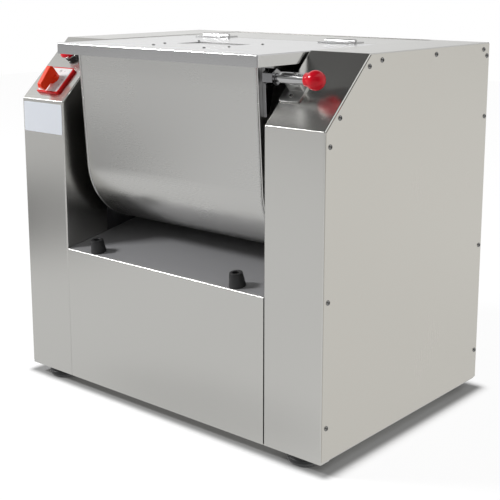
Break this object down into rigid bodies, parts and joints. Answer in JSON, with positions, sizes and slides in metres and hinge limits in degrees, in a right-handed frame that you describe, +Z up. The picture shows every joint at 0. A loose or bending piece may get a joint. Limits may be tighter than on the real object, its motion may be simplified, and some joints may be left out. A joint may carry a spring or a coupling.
{
  "type": "dough mixer",
  "caption": "Free-standing steel dough mixer: a tilting trough with a hinged lid between two columns, a twisted-bar agitator, gear drive, latch and switch.",
  "frame": {"origin": "floor level, midway across the width and midway between the lid's front edge and the cable gland's rear end", "axes": "+X towards the column with the latch, +Y from the front to the rear, +Z up"},
  "size_m": [0.7444, 0.542, 0.685],
  "materials": {
    "panel_steel": "brushed",
    "lid_steel": "brushed",
    "trough_steel": "satin",
    "machined_steel": "turned",
    "agitator_steel": "polished",
    "bright_metal": "polished",
    "screw_steel": "plain",
    "frame_steel": "matt",
    "gear_steel": "machined",
    "cast_metal": "painted",
    "bearing_bronze": "plain",
    "black_rubber": "matt",
    "black_plastic": "matt",
    "red_plastic": "gloss",
    "white_plastic": "satin"
  },
  "bodies": {
    "housing": {"left_column_shell": "panel_steel", "right_column_shell": "panel_steel", "left_side_cover": "panel_steel", "right_side_cover": "panel_steel", "front_panel": "panel_steel", "rear_panel": "panel_steel", "rear_top_plate": "panel_steel", "well_back_panel": "panel_steel", "base_pan": "panel_steel", "trunnion_sleeves": "machined_steel", "latch_bracket": "bright_metal", "latch_sleeve": "bright_metal", "rear_hinge_leaves": "bright_metal", "hinge_pins": "bright_metal", "button_bezel": "bright_metal", "panel_screws": "screw_steel", "latch_screws": "screw_steel", "bumper_screws": "screw_steel", "base_frame": "frame_steel", "left_side_plate": "frame_steel", "right_side_plate": "frame_steel", "layshaft_bracket": "frame_steel", "motor_body": "cast_metal", "shaft_bearings": "bearing_bronze", "layshaft_bearings": "bearing_bronze", "rubber_feet": "black_rubber", "tilt_bumpers": "black_rubber", "drive_belt": "black_rubber", "button_collar": "black_plastic", "cable_gland": "black_plastic", "switch_body": "black_plastic", "button_contact_block": "black_plastic", "control_box": "black_plastic", "motor_terminal_box": "black_plastic", "switch_plate": "red_plastic", "switch_face": "white_plastic"},
    "bowl": {"bowl_shell": "trough_steel", "bowl_ends": "trough_steel", "bowl_rim": "trough_steel", "bowl_hubs": "machined_steel", "shaft_seals": "black_rubber", "latch_ear": "bright_metal", "latch_bush": "bright_metal"},
    "lid": {"lid_panel": "lid_steel", "lid_window_plate": "lid_steel", "lid_screws": "screw_steel", "lid_hinge_leaves": "bright_metal"},
    "agitator": {"agitator_shaft": "machined_steel", "agitator_arms": "agitator_steel", "agitator_bars": "agitator_steel", "drive_gear": "gear_steel"},
    "layshaft_set": {"layshaft": "machined_steel", "pinion": "gear_steel", "layshaft_pulley": "cast_metal"},
    "motor_rotor": {"motor_shaft": "machined_steel", "motor_pulley": "cast_metal"},
    "latch_bolt": {"latch_plunger": "bright_metal", "latch_knob": "red_plastic"},
    "switch_handle": {"switch_knob": "red_plastic"},
    "push_button": {"button_cap": "red_plastic"}
  },
  "joints": [
    {"name": "bowl_tilt", "type": "hinge", "parent": "housing", "child": "bowl", "pos_m": [0, -0.097, 0.456], "axis": [1, 0, 0], "range_deg": [0, 92]},
    {"name": "lid_open", "type": "hinge", "parent": "housing", "child": "lid", "pos_m": [0, 0.074, 0.6815], "axis": [-1, 0, 0], "range_deg": [0, 92]},
    {"name": "agitator_spin", "type": "hinge", "parent": "housing", "child": "agitator", "pos_m": [0, -0.097, 0.456], "axis": [1, 0, 0], "continuous": true},
    {"name": "layshaft_spin", "type": "hinge", "parent": "housing", "child": "layshaft_set", "pos_m": [0.3, -0.00769, 0.36669], "axis": [1, 0, 0], "continuous": true},
    {"name": "motor_spin", "type": "hinge", "parent": "housing", "child": "motor_rotor", "pos_m": [0.3, 0.071, 0.138], "axis": [1, 0, 0], "continuous": true},
    {"name": "latch_slide", "type": "slide", "parent": "housing", "child": "latch_bolt", "axis": [1, 0, 0], "range_m": [-0.007, 0.012]},
    {"name": "switch_turn", "type": "hinge", "parent": "housing", "child": "switch_handle", "pos_m": [-0.304, -0.22506, 0.59851], "axis": [0, -0.6916, 0.7222], "range_deg": [0, 90]},
    {"name": "button_press", "type": "slide", "parent": "housing", "child": "push_button", "axis": [0, 0.6916, -0.7222], "range_m": [0, 0.004], "stiffness_N_per_m": 300}
  ],
  "couplings": [
    {"joint": "lid_open", "follows": "bowl_tilt", "ratio": 1},
    {"joint": "layshaft_spin", "follows": "agitator_spin", "ratio": -5},
    {"joint": "motor_spin", "follows": "agitator_spin", "ratio": -15}
  ]
}
